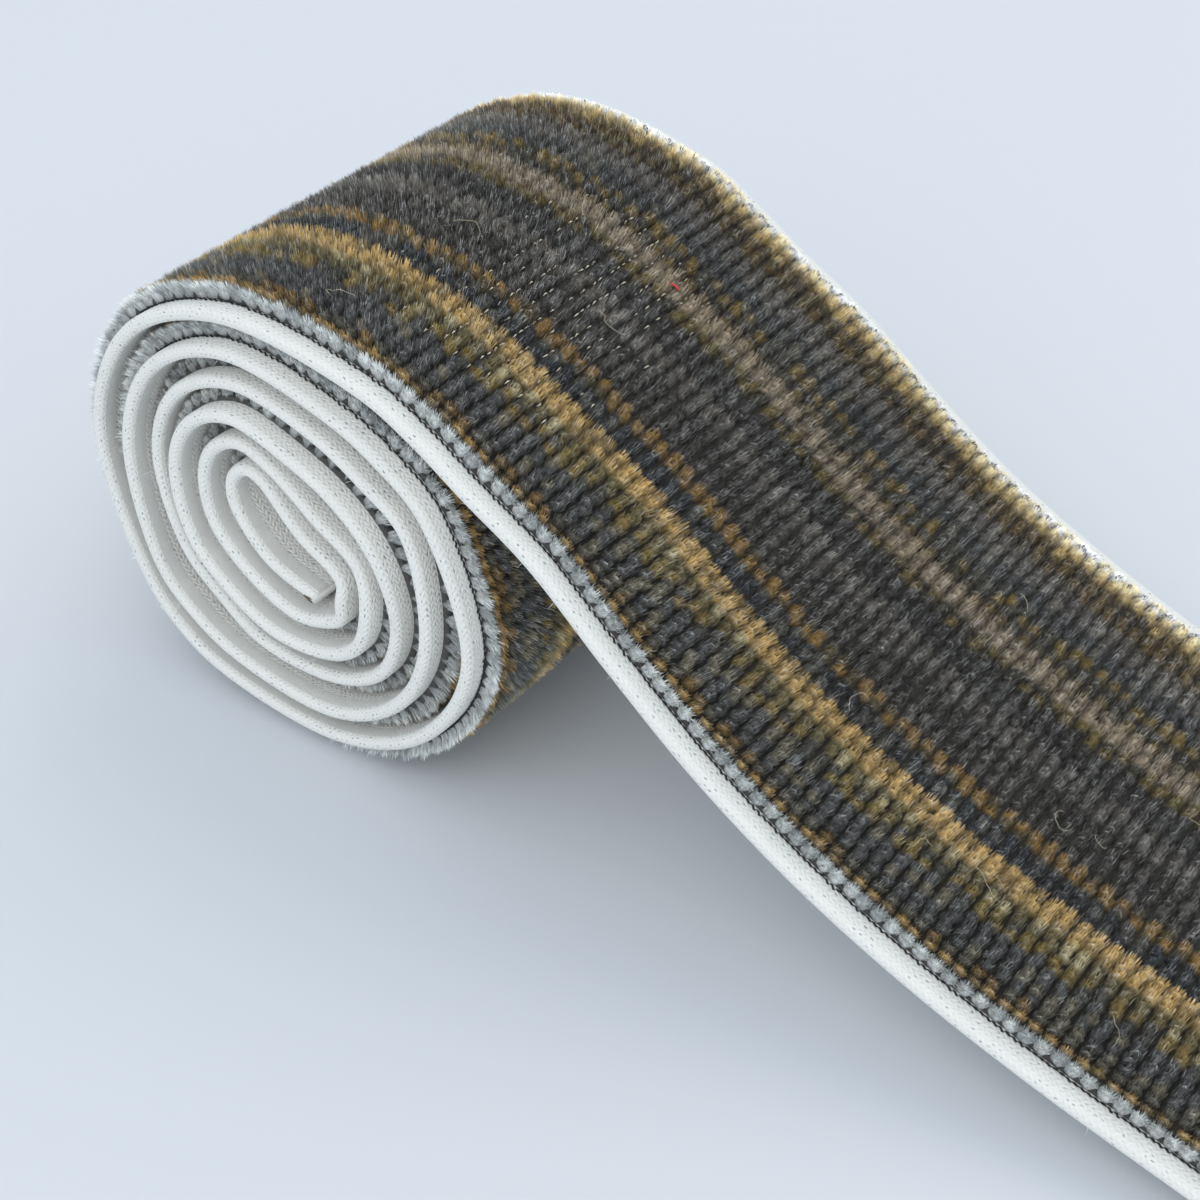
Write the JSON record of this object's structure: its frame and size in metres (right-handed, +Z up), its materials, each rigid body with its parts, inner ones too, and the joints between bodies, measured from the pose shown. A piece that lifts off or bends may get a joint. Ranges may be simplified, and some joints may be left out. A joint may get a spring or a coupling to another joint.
{
  "type": "velvet tape trim",
  "caption": "Velvet tape trim wound into a slightly flattened oval roll, its free end let out as a curved tail; bare white selvedges and striped cut pile on the outer face",
  "frame": {"origin": "on the table plane, under the middle of the bounding box", "axes": "+X from the roll along the free tail, +Y across the tape along the roll's axis, +Z up"},
  "size_m": [0.1316, 0.0514, 0.0459],
  "materials": {
    "velvet_tape": "cut pile in grey, brown and mustard stripes on a white woven ground"
  },
  "bodies": {
    "root": {"velvet_tape": "velvet_tape"}
  },
  "joints": []
}
